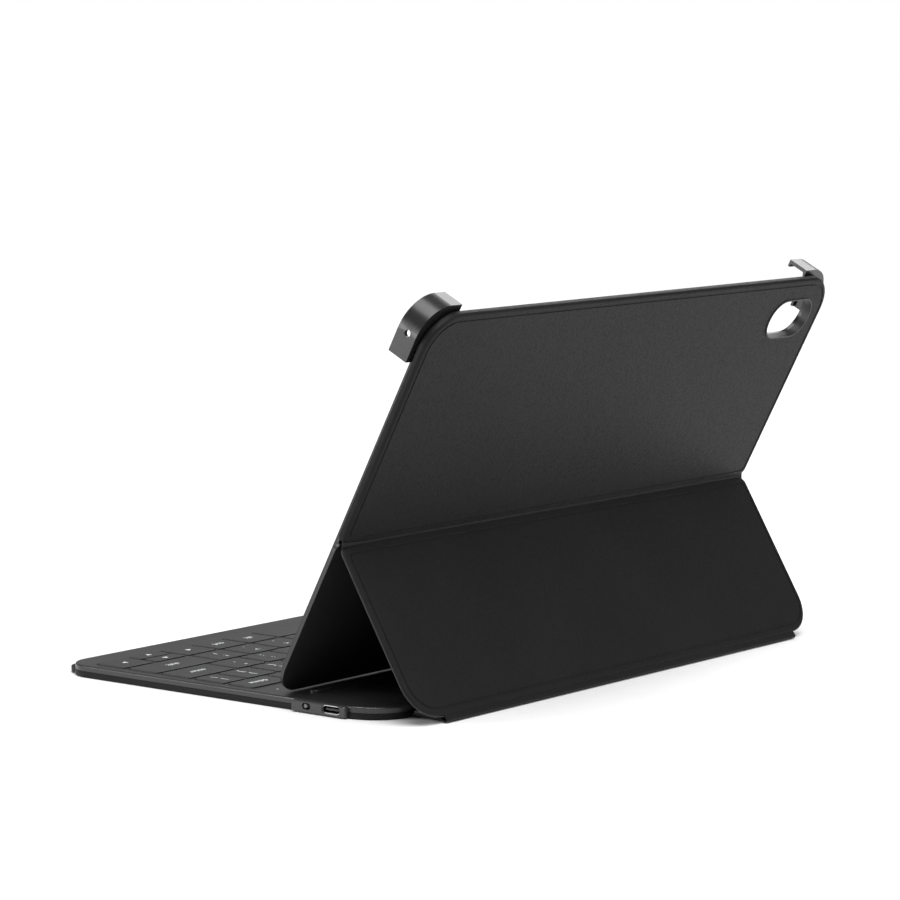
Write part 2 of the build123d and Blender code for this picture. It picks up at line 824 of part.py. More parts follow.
# tray_shell: hard plate behind the tablet with a clip at each top corner
with BuildPart() as tray_shell:
    with BuildSketch(tray_plane.offset(plate_back)):
        add(plate_outline)
    extrude(amount=tray_plate)
    with BuildSketch(tray_plane.offset(clip_rear)):
        add(clip_faces.sketch)
    extrude(amount=lip_face - clip_rear)
    with BuildSketch(tray_plane.offset(plate_face)):
        add(pocket_face)
    extrude(amount=tablet_thickness, mode=Mode.SUBTRACT)
    with BuildSketch(tray_plane.offset(plate_face)):
        add(lip_opening)
    extrude(amount=2 * tablet_thickness, mode=Mode.SUBTRACT)
    with BuildSketch(tray_plane.offset(plate_back)):
        add(camera_hole)
    extrude(amount=tray_plate, mode=Mode.SUBTRACT)
    with BuildSketch(Plane.YZ.offset(half_width - clip_wall)):
        with Locations(
            (
                crease[0] + clip_hole_up * cos(tray_angle) - clip_hole_depth * sin(tray_angle),
                crease[1] + clip_hole_up * sin(tray_angle) + clip_hole_depth * cos(tray_angle),
            )
        ):
            Circle(clip_hole_radius)
    extrude(amount=4 * clip_wall, mode=Mode.SUBTRACT)
    with BuildSketch(tray_plane.offset(plate_back)):
        with Locations(*magnet_spots):
            Rectangle(magnet_length, magnet_depth)
    extrude(amount=magnet_thickness, mode=Mode.SUBTRACT)
save(tray_shell, "tray_shell")

# tray_magnets: bar magnets in the foot of the tray, facing those under the deck
with BuildPart() as tray_magnets:
    with BuildSketch(tray_plane.offset(plate_back)):
        with Locations(*magnet_spots):
            Rectangle(magnet_length, magnet_depth)
    extrude(amount=magnet_thickness)
save(tray_magnets, "tray_magnets")

# ================================================================ keys
# Each key cap is open underneath, where its dome and scissor frames stand.
for node, cells in key_cells.items():
    with BuildPart() as key_cap:
        with BuildSketch(Plane.XY.offset(key_underside)):
            for x, y, width, depth in cells:
                with Locations((x, y)):
                    RectangleRounded(width, depth, key_corner)
        extrude(amount=key_height)
        fillet(key_cap.edges().group_by(Axis.Z)[-1], key_edge_radius)
        with BuildSketch(Plane.XY.offset(key_underside)):
            for x, y, width, depth in cells:
                with Locations((x, y)):
                    Rectangle(width - 2 * key_wall, depth - 2 * key_wall)
        extrude(amount=key_height - key_top, mode=Mode.SUBTRACT)
    save(key_cap, node)
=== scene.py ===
import json
import math

import bmesh
import bpy
from mathutils import Matrix, Vector

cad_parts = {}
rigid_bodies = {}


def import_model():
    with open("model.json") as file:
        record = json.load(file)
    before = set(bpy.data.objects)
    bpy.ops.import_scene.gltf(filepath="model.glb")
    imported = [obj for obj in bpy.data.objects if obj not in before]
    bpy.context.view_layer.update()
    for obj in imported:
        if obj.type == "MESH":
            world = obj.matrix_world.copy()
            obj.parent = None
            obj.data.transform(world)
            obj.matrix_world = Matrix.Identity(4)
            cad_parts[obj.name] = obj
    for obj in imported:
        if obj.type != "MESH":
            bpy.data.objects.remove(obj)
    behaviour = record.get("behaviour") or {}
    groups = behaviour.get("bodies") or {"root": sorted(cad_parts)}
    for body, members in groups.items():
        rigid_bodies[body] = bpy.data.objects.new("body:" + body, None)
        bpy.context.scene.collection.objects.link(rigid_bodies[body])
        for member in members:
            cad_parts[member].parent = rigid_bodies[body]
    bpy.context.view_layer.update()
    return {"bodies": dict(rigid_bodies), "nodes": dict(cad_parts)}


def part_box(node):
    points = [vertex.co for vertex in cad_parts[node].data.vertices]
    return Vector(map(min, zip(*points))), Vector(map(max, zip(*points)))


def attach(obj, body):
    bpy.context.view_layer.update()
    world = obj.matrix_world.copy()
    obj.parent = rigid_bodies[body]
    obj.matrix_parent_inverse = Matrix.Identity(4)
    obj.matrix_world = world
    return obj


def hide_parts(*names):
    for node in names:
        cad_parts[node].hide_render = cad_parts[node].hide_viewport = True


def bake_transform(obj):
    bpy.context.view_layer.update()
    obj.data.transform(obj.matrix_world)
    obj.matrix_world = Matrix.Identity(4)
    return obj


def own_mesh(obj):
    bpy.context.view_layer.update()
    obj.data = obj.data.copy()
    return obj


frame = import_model()

# ---------------------------------------------------------------- bottom cover
# The underside and the low rim of the base are wrapped in fine-grained imitation leather,
# glued to a sheet of fibre board and turned up round its edge. The nub at the front is the
# lip that a finger lifts the case by.
def node_in(tree, kind, **settings):
    node = tree.nodes.new(kind)
    for name, value in settings.items():
        setattr(node, name, value)
    return node


def new_group(name, inputs, outputs):
    group = bpy.data.node_groups.new(name, "ShaderNodeTree")
    for label, kind, value in inputs:
        socket = group.interface.new_socket(label, in_out="INPUT", socket_type=kind)
        if value is not None:
            socket.default_value = value
    for label, kind in outputs:
        group.interface.new_socket(label, in_out="OUTPUT", socket_type=kind)
    return group, group.nodes.new("NodeGroupInput"), group.nodes.new("NodeGroupOutput")


def leather_grain_group():
    group, given, result = new_group(
        "leather_grain",
        [("Vector", "NodeSocketVector", None), ("Pebble", "NodeSocketFloat", 1250.0)],
        [("Height", "NodeSocketFloat"), ("Shade", "NodeSocketFloat"), ("Polish", "NodeSocketFloat")],
    )
    link = group.links.new
    pebbles = node_in(group, "ShaderNodeTexVoronoi", feature="SMOOTH_F1")
    pebbles.inputs["Smoothness"].default_value = 0.55
    link(given.outputs["Vector"], pebbles.inputs["Vector"])
    link(given.outputs["Pebble"], pebbles.inputs["Scale"])
    creases = node_in(group, "ShaderNodeTexNoise")
    creases.inputs["Scale"].default_value = 420.0
    creases.inputs["Detail"].default_value = 5.0
    creases.inputs["Distortion"].default_value = 0.6
    link(given.outputs["Vector"], creases.inputs["Vector"])
    broad = node_in(group, "ShaderNodeTexNoise")
    broad.inputs["Scale"].default_value = 24.0
    broad.inputs["Detail"].default_value = 3.0
    link(given.outputs["Vector"], broad.inputs["Vector"])
    height = node_in(group, "ShaderNodeMath", operation="MULTIPLY_ADD")
    height.inputs[1].default_value = 0.7
    link(pebbles.outputs["Distance"], height.inputs[0])
    link(creases.outputs["Fac"], height.inputs[2])
    link(height.outputs[0], result.inputs["Height"])
    shade = node_in(group, "ShaderNodeMix", data_type="FLOAT")
    shade.inputs["Factor"].default_value = 0.45
    link(broad.outputs["Fac"], shade.inputs[2])
    link(creases.outputs["Fac"], shade.inputs[3])
    link(shade.outputs[0], result.inputs["Shade"])
    link(pebbles.outputs["Distance"], result.inputs["Polish"])
    return group


def ramp_between(tree, source, low, high):
    ramp = tree.nodes.new("ShaderNodeValToRGB")
    ramp.color_ramp.elements[0].position = 0.3
    ramp.color_ramp.elements[1].position = 0.72
    ramp.color_ramp.elements[0].color = (*low, 1)
    ramp.color_ramp.elements[1].color = (*high, 1)
    tree.links.new(source, ramp.inputs["Fac"])
    return ramp.outputs["Color"]


def spread_between(tree, source, low, high):
    spread = tree.nodes.new("ShaderNodeMapRange")
    spread.inputs["To Min"].default_value = low
    spread.inputs["To Max"].default_value = high
    tree.links.new(source, spread.inputs["Value"])
    return spread.outputs["Result"]


def started_material(name):
    material = bpy.data.materials.new(name)
    material.use_nodes = True
    tree = material.node_tree
    shader = tree.nodes["Principled BSDF"]
    place = tree.nodes.new("ShaderNodeTexCoord")
    return material, tree, shader, place.outputs["Object"]


def raised(tree, shader, height, strength, depth):
    bump = tree.nodes.new("ShaderNodeBump")
    bump.inputs["Strength"].default_value = strength
    bump.inputs["Distance"].default_value = depth
    tree.links.new(height, bump.inputs["Height"])
    tree.links.new(bump.outputs["Normal"], shader.inputs["Normal"])


def leather_finish(name, dark, light, pebble, depth):
    material, tree, shader, place = started_material(name)
    grain = node_in(tree, "ShaderNodeGroup", node_tree=leather_grain)
    grain.inputs["Pebble"].default_value = pebble
    tree.links.new(place, grain.inputs["Vector"])
    tree.links.new(ramp_between(tree, grain.outputs["Shade"], dark, light), shader.inputs["Base Color"])
    tree.links.new(spread_between(tree, grain.outputs["Polish"], 0.4, 0.6), shader.inputs["Roughness"])
    raised(tree, shader, grain.outputs["Height"], 0.32, depth)
    shader.inputs["Specular IOR Level"].default_value = 0.16
    return material


def finish_node(material, *names):
    for name in names:
        part = frame["nodes"][name]
        part.data.materials.clear()
        part.data.materials.append(material)


leather_grain = leather_grain_group()
cover_leather = leather_finish("cover_leather", (0.0045, 0.0045, 0.0049), (0.0085, 0.0085, 0.0091), 1150.0, 0.00016)
finish_node(cover_leather, "base_skin")

# ---------------------------------------------------------------- stiffener boards
# Every leather panel is stiffened by a grey fibre board inside it, cut with the same
# rounded corners. Pressed fibres lie at random in it.
def fibre_board():
    material, tree, shader, place = started_material("fibre_board")
    fibres = node_in(tree, "ShaderNodeTexNoise")
    fibres.inputs["Scale"].default_value = 900.0
    fibres.inputs["Detail"].default_value = 6.0
    fibres.inputs["Distortion"].default_value = 2.2
    tree.links.new(place, fibres.inputs["Vector"])
    colour = ramp_between(tree, fibres.outputs["Fac"], (0.2, 0.19, 0.17), (0.34, 0.32, 0.29))
    tree.links.new(colour, shader.inputs["Base Color"])
    tree.links.new(spread_between(tree, fibres.outputs["Fac"], 0.75, 0.92), shader.inputs["Roughness"])
    raised(tree, shader, fibres.outputs["Fac"], 0.4, 0.0001)
    return material


finish_node(fibre_board(), "base_board", "spine_board", "stand_board", "upper_board")

# ---------------------------------------------------------------- bottom shell and its screws
# The keyboard's lower shell is an injection moulding glued into the cover, with a fine
# spark-eroded texture. Eight blackened screws go up through it into the top shell's bosses.
def moulding_group():
    group, given, result = new_group(
        "moulded_texture",
        [
            ("Vector", "NodeSocketVector", None),
            ("Dark", "NodeSocketColor", (0.05, 0.05, 0.05, 1)),
            ("Light", "NodeSocketColor", (0.08, 0.08, 0.08, 1)),
            ("Grit", "NodeSocketFloat", 3000.0),
            ("Smooth", "NodeSocketFloat", 0.3),
            ("Rough", "NodeSocketFloat", 0.5),
        ],
        [("Color", "NodeSocketColor"), ("Roughness", "NodeSocketFloat"), ("Height", "NodeSocketFloat")],
    )
    link = group.links.new
    grit = node_in(group, "ShaderNodeTexNoise")
    grit.inputs["Detail"].default_value = 4.0
    link(given.outputs["Vector"], grit.inputs["Vector"])
    link(given.outputs["Grit"], grit.inputs["Scale"])
    handling = node_in(group, "ShaderNodeTexNoise")
    handling.inputs["Scale"].default_value = 32.0
    handling.inputs["Detail"].default_value = 5.0
    link(given.outputs["Vector"], handling.inputs["Vector"])
    colour = node_in(group, "ShaderNodeMix", data_type="RGBA")
    link(grit.outputs["Fac"], colour.inputs["Factor"])
    link(given.outputs["Dark"], colour.inputs[6])
    link(given.outputs["Light"], colour.inputs[7])
    link(colour.outputs[2], result.inputs["Color"])
    polish = node_in(group, "ShaderNodeMapRange")
    link(handling.outputs["Fac"], polish.inputs["Value"])
    link(given.outputs["Smooth"], polish.inputs["To Min"])
    link(given.outputs["Rough"], polish.inputs["To Max"])
    polish.inputs["From Min"].default_value = 0.3
    polish.inputs["From Max"].default_value = 0.7
    link(polish.outputs["Result"], result.inputs["Roughness"])
    link(grit.outputs["Fac"], result.inputs["Height"])
    return group


def moulded_finish(name, dark, light, grit, smooth, rough, strength, metallic=0.0):
    material, tree, shader, place = started_material(name)
    texture = node_in(tree, "ShaderNodeGroup", node_tree=moulded_texture)
    texture.inputs["Dark"].default_value = (*dark, 1)
    texture.inputs["Light"].default_value = (*light, 1)
    texture.inputs["Grit"].default_value = grit
    texture.inputs["Smooth"].default_value = smooth
    texture.inputs["Rough"].default_value = rough
    tree.links.new(place, texture.inputs["Vector"])
    tree.links.new(texture.outputs["Color"], shader.inputs["Base Color"])
    tree.links.new(texture.outputs["Roughness"], shader.inputs["Roughness"])
    raised(tree, shader, texture.outputs["Height"], strength, 0.00005)
    shader.inputs["Metallic"].default_value = metallic
    return material


moulded_texture = moulding_group()
finish_node(
    moulded_finish("lower_shell", (0.012, 0.012, 0.0128), (0.02, 0.02, 0.021), 3200.0, 0.38, 0.55, 0.2),
    "keyboard_bottom_shell",
)
finish_node(
    moulded_finish("blackened_screw", (0.04, 0.04, 0.045), (0.09, 0.09, 0.1), 5200.0, 0.25, 0.45, 0.15, 1.0),
    "shell_screws",
)

# ---------------------------------------------------------------- key plate and switch layers
# A rolled steel plate carries a printed switch film, and on it stand a silicone dome and a
# pair of crossed acetal frames for each key. On the real keyboard both flatten as their own key goes down;
# here each key's set is cut out as its own piece and fixed to the base.
def rolled_metal(name, dark, light, stretch, smooth, rough):
    material, tree, shader, place = started_material(name)
    turn = tree.nodes.new("ShaderNodeMapping")
    turn.inputs["Scale"].default_value = stretch
    tree.links.new(place, turn.inputs["Vector"])
    streaks = node_in(tree, "ShaderNodeTexNoise")
    streaks.inputs["Scale"].default_value = 900.0
    streaks.inputs["Detail"].default_value = 4.0
    tree.links.new(turn.outputs["Vector"], streaks.inputs["Vector"])
    tree.links.new(ramp_between(tree, streaks.outputs["Fac"], dark, light), shader.inputs["Base Color"])
    tree.links.new(spread_between(tree, streaks.outputs["Fac"], smooth, rough), shader.inputs["Roughness"])
    raised(tree, shader, streaks.outputs["Fac"], 0.12, 0.00003)
    shader.inputs["Metallic"].default_value = 1.0
    return material


finish_node(
    rolled_metal("rolled_plate", (0.42, 0.42, 0.43), (0.6, 0.6, 0.61), (0.06, 1, 1), 0.28, 0.45),
    "key_support_plate",
)


def printed_film():
    material, tree, shader, place = started_material("printed_film")
    lines = node_in(tree, "ShaderNodeTexBrick")
    lines.inputs["Scale"].default_value = 110.0
    lines.inputs["Mortar Size"].default_value = 0.03
    lines.inputs["Color1"].default_value = (0.5, 0.52, 0.54, 1)
    lines.inputs["Color2"].default_value = (0.44, 0.46, 0.48, 1)
    lines.inputs["Mortar"].default_value = (0.16, 0.17, 0.18, 1)
    tree.links.new(place, lines.inputs["Vector"])
    tree.links.new(lines.outputs["Color"], shader.inputs["Base Color"])
    tree.links.new(spread_between(tree, lines.outputs["Fac"], 0.25, 0.5), shader.inputs["Roughness"])
    raised(tree, shader, lines.outputs["Fac"], 0.2, 0.00004)
    return material


finish_node(printed_film(), "membrane_sheet")
dome_silicone = moulded_finish("dome_silicone", (0.55, 0.55, 0.53), (0.72, 0.72, 0.7), 700.0, 0.5, 0.7, 0.1)
frame_acetal = moulded_finish("frame_acetal", (0.6, 0.6, 0.58), (0.76, 0.76, 0.74), 1600.0, 0.35, 0.5, 0.1)
key_bodies = [b for b in frame["bodies"] if b.startswith("key")]


def under_key(node, body, material):
    low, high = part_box(body)
    bm = bmesh.new()
    bm.from_mesh(frame["nodes"][node].data)
    beyond = [v for v in bm.verts if not (low.x < v.co.x < high.x and low.y < v.co.y < high.y)]
    bmesh.ops.delete(bm, geom=beyond, context="VERTS")
    bmesh.ops.remove_doubles(bm, verts=bm.verts, dist=0.000002)
    name = body + ("_domes" if node == "rubber_domes" else "_frames")
    mesh = bpy.data.meshes.new(name)
    bm.to_mesh(mesh)
    bm.free()
    mesh.materials.clear()
    mesh.materials.append(material)
    piece = bpy.data.objects.new(name, mesh)
    bpy.context.scene.collection.objects.link(piece)
    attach(piece, "base")
    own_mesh(piece)
    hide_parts(node)


for key_body in key_bodies:
    under_key("rubber_domes", key_body, dome_silicone)
    under_key("scissor_frames", key_body, frame_acetal)

# ---------------------------------------------------------------- electronics
# The controller board carries three packages, the charging socket and the slide switch on
# its outer edge, beside a flat pouch cell in crinkled foil.
def solder_mask():
    material, tree, shader, place = started_material("solder_mask")
    tracks = node_in(tree, "ShaderNodeTexBrick", offset=0.5)
    tracks.inputs["Scale"].default_value = 420.0
    tracks.inputs["Mortar Size"].default_value = 0.06
    tracks.inputs["Color1"].default_value = (0.015, 0.07, 0.04, 1)
    tracks.inputs["Color2"].default_value = (0.02, 0.085, 0.05, 1)
    tracks.inputs["Mortar"].default_value = (0.04, 0.14, 0.08, 1)
    tree.links.new(place, tracks.inputs["Vector"])
    tree.links.new(tracks.outputs["Color"], shader.inputs["Base Color"])
    tree.links.new(spread_between(tree, tracks.outputs["Fac"], 0.3, 0.4), shader.inputs["Roughness"])
    raised(tree, shader, tracks.outputs["Fac"], 0.3, 0.00004)
    return material


finish_node(solder_mask(), "controller_board")
finish_node(
    moulded_finish("chip_epoxy", (0.015, 0.015, 0.016), (0.03, 0.03, 0.032), 4200.0, 0.4, 0.6, 0.15),
    "control_chips",
)
finish_node(
    moulded_finish("pouch_foil", (0.45, 0.45, 0.47), (0.66, 0.66, 0.68), 160.0, 0.25, 0.45, 0.5, 1.0),
    "battery_cell",
)
finish_node(
    rolled_metal("socket_plating", (0.5, 0.5, 0.51), (0.74, 0.74, 0.75), (1, 0.1, 1), 0.16, 0.32),
    "usb_c_socket",
    "slide_switch_body",
)
finish_node(
    moulded_finish("tongue_moulding", (0.012, 0.012, 0.013), (0.03, 0.03, 0.032), 3000.0, 0.35, 0.5, 0.1),
    "usb_c_tongue",
)

# ---------------------------------------------------------------- magnets
# Four bars under the deck hold the tray's foot in its groove, and four in the tray's foot
# meet them. All are nickel plated.
nickel = moulded_finish("nickel_plate", (0.5, 0.49, 0.47), (0.64, 0.63, 0.6), 2600.0, 0.1, 0.24, 0.05, 1.0)
finish_node(nickel, "deck_magnets", "tray_magnets")

# ---------------------------------------------------------------- top shell
# The deck round the keys and the low ridge behind them are one moulding, matt with a slight
# satin that palms have polished, snapped and screwed onto the lower shell.
finish_node(
    moulded_finish("deck_plastic", (0.016, 0.016, 0.0165), (0.027, 0.027, 0.0275), 4200.0, 0.26, 0.42, 0.16),
    "keyboard_deck",
)
finish_node(
    moulded_finish("indicator_lens", (0.6, 0.62, 0.64), (0.8, 0.82, 0.84), 1500.0, 0.1, 0.2, 0.05),
    "indicator_lens",
)

# ---------------------------------------------------------------- side pod and power slider
# A small moulded block closes the notch at the side: it frames the charging socket and has
# a round-ended recess in which the power slider's nub runs.
finish_node(
    moulded_finish("pod_plastic", (0.022, 0.022, 0.0225), (0.036, 0.036, 0.0365), 3600.0, 0.3, 0.46, 0.16),
    "port_pod",
)
finish_node(
    moulded_finish("slider_plastic", (0.12, 0.12, 0.12), (0.19, 0.19, 0.19), 3600.0, 0.3, 0.45, 0.1),
    "power_slider",
)

# ---------------------------------------------------------------- keys and their legends
# Each cap is a low square moulding with a soft matt top and a rounded edge. Its legend is
# printed in white ink, a few hundredths of a millimetre thick.
KEY_UNIT = 0.01883
ROW_PITCH = 0.0178
NUMBER_ROW = 0.0154
FIELD_FRONT = -0.0688
FIELD_LEFT = -7 * KEY_UNIT
KEY_TOP = 0.0055
INK = 0.00003

key_plastic = moulded_finish("key_plastic", (0.02, 0.02, 0.0215), (0.032, 0.0325, 0.034), 3800.0, 0.36, 0.54, 0.14)
legend_ink = moulded_finish("legend_ink", (0.72, 0.73, 0.74), (0.84, 0.85, 0.86), 2600.0, 0.4, 0.55, 0.08)

ROWS = [
    [
        ("key_fn", [("fn", 1)]),
        ("key_ctrl_left", [("ctrl", 1)]),
        ("key_menu", [("menu", 1)]),
        ("key_alt_left", [("alt", 1)]),
        ("key_space", [("", 5)]),
        ("key_alt_right", [("alt", 1)]),
        ("key_ctrl_right", [("ctrl", 1)]),
        ("key_arrow_left", [("left", 1)]),
        ("key_arrow_pair", [("", 1)]),
        ("key_arrow_right", [("right", 1)]),
    ],
    [
        ("key_shift_left", [("shift", 2)]),
        ("keys_second_row_left", [(c, 1) for c in "ZXCVB"]),
        ("keys_second_row_right", [("N", 1), ("M", 1), ("< ,", 1), ("> .", 1), ("? /", 1)]),
        ("key_shift_right", [("shift", 2)]),
    ],
    [
        ("key_caps", [("caps", 1.5)]),
        ("keys_third_row_left", [(c, 1) for c in "ASDFG"]),
        ("keys_third_row_right", [("H", 1), ("J", 1), ("K", 1), ("L", 1), (": ;", 1), ("\" '", 1)]),
        ("key_enter", [("enter", 1.5)]),
    ],
    [
        ("key_tab", [("tab", 1.25)]),
        ("keys_fourth_row_left", [(c, 1) for c in "QWERTY"]),
        ("keys_fourth_row_right", [("U", 1), ("I", 1), ("O", 1), ("P", 1), ("{ [", 1), ("} ]", 1)]),
        ("key_backslash", [("| \\", 0.75)]),
    ],
    [
        ("key_escape", [("esc", 0.75)]),
        ("keys_number_row_left", [("! 1", 1), ("@ 2", 1), ("# 3", 1), ("$ 4", 1), ("% 5", 1), ("^ 6", 1)]),
        ("keys_number_row_right", [("& 7", 1), ("* 8", 1), ("( 9", 1), (") 0", 1), ("_ -", 1), ("+ =", 1)]),
        ("key_backspace", [("delete", 1.25)]),
    ],
]


def printed(bm, text, x, y, height):
    curve = bpy.data.curves.new("lettering", "FONT")
    curve.body = text
    curve.size = height
    curve.align_x = "CENTER"
    curve.align_y = "CENTER"
    curve.resolution_u = 3
    holder = bpy.data.objects.new("lettering", curve)
    mesh = bpy.data.meshes.new_from_object(holder)
    mesh.transform(Matrix.Translation((x, y, KEY_TOP + INK)))
    bm.from_mesh(mesh)
    bpy.data.objects.remove(holder)
    bpy.data.meshes.remove(mesh)
    bpy.data.curves.remove(curve)


def arrow(bm, x, y, turn):
    place = Matrix.Translation((x, y, KEY_TOP + INK)) @ Matrix.Rotation(math.radians(turn), 4, "Z")
    bmesh.ops.create_circle(bm, cap_ends=True, segments=3, radius=0.0016, matrix=place)


def bars(bm, x, y):
    for step in (-1, 0, 1):
        place = Matrix.Translation((x, y + step * 0.0011, KEY_TOP + INK)) @ Matrix.Diagonal((0.0016, 0.0002, 1, 1))
        bmesh.ops.create_grid(bm, x_segments=1, y_segments=1, size=1, matrix=place)


def legend_piece(body, bm):
    ink_top = [f for f in bm.faces]
    walls = bmesh.ops.extrude_face_region(bm, geom=ink_top)
    sunk = [v for v in walls["geom"] if isinstance(v, bmesh.types.BMVert)]
    bmesh.ops.translate(bm, verts=sunk, vec=(0, 0, -2 * INK))
    bmesh.ops.recalc_face_normals(bm, faces=bm.faces)
    mesh = bpy.data.meshes.new(body + "_legend")
    bm.to_mesh(mesh)
    bm.free()
    mesh.materials.append(legend_ink)
    piece = bpy.data.objects.new(body + "_legend", mesh)
    bpy.context.scene.collection.objects.link(piece)
    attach(piece, body)


for index, row in enumerate(ROWS):
    depth = NUMBER_ROW if index == 4 else ROW_PITCH
    y = FIELD_FRONT + index * ROW_PITCH + depth / 2
    x = FIELD_LEFT
    for body, caps in row:
        bm = bmesh.new()
        for text, width in caps:
            middle = x + width * KEY_UNIT / 2
            if text in ("left", "right"):
                arrow(bm, middle, y, 90 if text == "left" else -90)
            elif text == "menu":
                bars(bm, middle, y)
            elif " " in text:
                upper, lower = text.split(" ")
                printed(bm, upper, middle, y + 0.0031, 0.0046)
                printed(bm, lower, middle, y - 0.003, 0.0046)
            elif len(text) == 1:
                printed(bm, text, middle, y, 0.006)
            elif text:
                printed(bm, text, middle, y, 0.0046 if len(text) < 5 else 0.0042)
            x += width * KEY_UNIT
        if bm.faces:
            legend_piece(body, bm)
        else:
            bm.free()

for body, y, turn in (("key_arrow_down", -0.0646, 180), ("key_arrow_up", -0.0552, 0)):
    bm = bmesh.new()
    arrow(bm, FIELD_LEFT + 12.5 * KEY_UNIT, y, turn)
    legend_piece(body, bm)

finish_node(key_plastic, *[n for n in frame["nodes"] if n.startswith("key_") and n != "key_support_plate"])
finish_node(key_plastic, *[n for n in frame["nodes"] if n.startswith("keys_")])

# ---------------------------------------------------------------- stand leather
# One piece of leather covers the boards of the whole outside. On the stand it is drawn over
# the board's rounded edge, and a hot tool has pressed a narrow border line into it.
SPINE_AXIS = Vector((0, 0.087, 0.0021))
FOOT_AXIS = Vector((0, 0.1036, 0.0013))
CREASE = Vector((0, 0.066024, 0.065866))
STAND_ANGLE = math.radians(59.188)
TRAY_ANGLE = math.radians(62.337)
SPINE_SLOPE = math.radians(2.759)
CASE_HALF = 0.136
BORDER_INSET = 0.0019
BORDER_WIDTH = 0.0010
BORDER_DEPTH = 0.0003


def panel_place(origin, along, inward):
    across = Vector((1, 0, 0))
    rows = Matrix((across, along, inward)).transposed().to_4x4()
    return Matrix.Translation(origin) @ rows


def face_outwards(bm, direction):
    return max((f for f in bm.faces if f.normal.dot(direction) > 0.99), key=lambda f: f.calc_area())


def rounded_plate(half, low, high, outer, inner, low_radius, high_radius):
    bm = bmesh.new()
    size = Matrix.Diagonal((2 * half, high - low, inner - outer, 1))
    middle = Matrix.Translation((0, (low + high) / 2, (outer + inner) / 2))
    bmesh.ops.create_cube(bm, size=1, matrix=middle @ size)
    for end, radius in ((low, low_radius), (high, high_radius)):
        upright = [e for e in bm.edges if all(abs(v.co.y - end) < 1e-6 for v in e.verts)]
        upright = [e for e in upright if abs(e.verts[0].co.z - e.verts[1].co.z) > 1e-6]
        bmesh.ops.bevel(bm, geom=upright, offset=radius, affect="EDGES", segments=14, profile=0.5, material=-1)
    return bm


def leather_panel(half, low, high, outer, inner, low_radius, high_radius, roll, hinged_end=None):
    bm = rounded_plate(half, low, high, outer, inner, low_radius, high_radius)
    out = Vector((0, 0, -1))
    for side, width in ((out, roll), (-out, roll / 3)):
        rim = face_outwards(bm, side).edges[:]
        if hinged_end is not None:
            rim = [e for e in rim if any(abs(v.co.y - hinged_end) > 0.00001 for v in e.verts)]
        bmesh.ops.bevel(bm, geom=rim, offset=width, affect="EDGES", segments=6, profile=0.5, material=-1)
    return bm


def plate_with_window(wall, half, low, high, outer, inner, low_radius, high_radius):
    bm = rounded_plate(half, low, high, outer, inner, low_radius, high_radius)
    bmesh.ops.inset_individual(bm, faces=[f for f in bm.faces if abs(f.normal.z) > 0.99], thickness=wall)
    caps = [face_outwards(bm, Vector((0, 0, side))) for side in (-1, 1)]
    rings = [e for cap in caps for e in cap.edges]
    bmesh.ops.delete(bm, geom=caps, context="FACES_ONLY")
    bmesh.ops.bridge_loops(bm, edges=rings)
    bmesh.ops.recalc_face_normals(bm, faces=bm.faces)
    return bm


def cut_with(mesh, punch_bm):
    punch_mesh = bpy.data.meshes.new("punch")
    punch_bm.to_mesh(punch_mesh)
    punch_bm.free()
    punch = bpy.data.objects.new("punch", punch_mesh)
    blank = bpy.data.objects.new("blank", mesh)
    for helper in (punch, blank):
        bpy.context.scene.collection.objects.link(helper)
    cut = blank.modifiers.new("cut", "BOOLEAN")
    cut.object = punch
    cut.solver = "EXACT"
    result = bpy.data.meshes.new_from_object(blank.evaluated_get(bpy.context.evaluated_depsgraph_get()))
    for helper in (punch, blank):
        bpy.data.objects.remove(helper)
    bpy.data.meshes.remove(punch_mesh)
    bpy.data.meshes.remove(mesh)
    return result


def pressed_line(half, low, high, outer, low_radius, high_radius):
    bm = plate_with_window(
        BORDER_WIDTH, half, low, high, outer - BORDER_WIDTH, outer + BORDER_DEPTH, low_radius, high_radius
    )
    bottom = [f for f in bm.faces if f.normal.z > 0.99]
    edges = list({e for f in bottom for e in f.edges if any(abs(n.normal.z) < 0.5 for n in e.link_faces)})
    bmesh.ops.bevel(bm, geom=edges, offset=BORDER_DEPTH * 0.7, affect="EDGES", segments=2, profile=0.5, material=-1)
    return bm


def leather_piece(name, bm, place, body=None, cuts=()):
    bmesh.ops.recalc_face_normals(bm, faces=bm.faces)
    for face in bm.faces:
        face.smooth = True
    mesh = bpy.data.meshes.new(name)
    bm.to_mesh(mesh)
    bm.free()
    for punch_bm in cuts:
        mesh = cut_with(mesh, punch_bm)
    mesh.name = name
    mesh.transform(place)
    mesh.set_sharp_from_angle(angle=math.radians(17))
    mesh.materials.clear()
    mesh.materials.append(cover_leather)
    piece = bpy.data.objects.new(name, mesh)
    bpy.context.scene.collection.objects.link(piece)
    if body:
        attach(piece, body)
    return piece


stand_up = Vector((0, -math.cos(STAND_ANGLE), math.sin(STAND_ANGLE)))
stand_in = Vector((0, -math.sin(STAND_ANGLE), -math.cos(STAND_ANGLE)))
stand_place = panel_place(FOOT_AXIS, stand_up, stand_in)
stand_leather = leather_piece(
    "stand_leather",
    leather_panel(CASE_HALF, 0.002, 0.0741, -0.0008, 0.0004, 0.015, 0.003, 0.0007, 0.0741),
    stand_place,
    "stand",
    [pressed_line(CASE_HALF - BORDER_INSET, 0.0042, 0.0719, -0.0008, 0.0128, 0.003)],
)
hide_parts("stand_skin")

# ---------------------------------------------------------------- upper leather
# The same leather goes on over the upper board, with the border line again, round the camera
# opening whose cut edge is painted and has a thin moulded rim.
CAMERA_X = -0.1128
CAMERA_UP = 0.0815
CAMERA_HALF = (0.01525, 0.0095)
CAMERA_RADIUS = 0.009

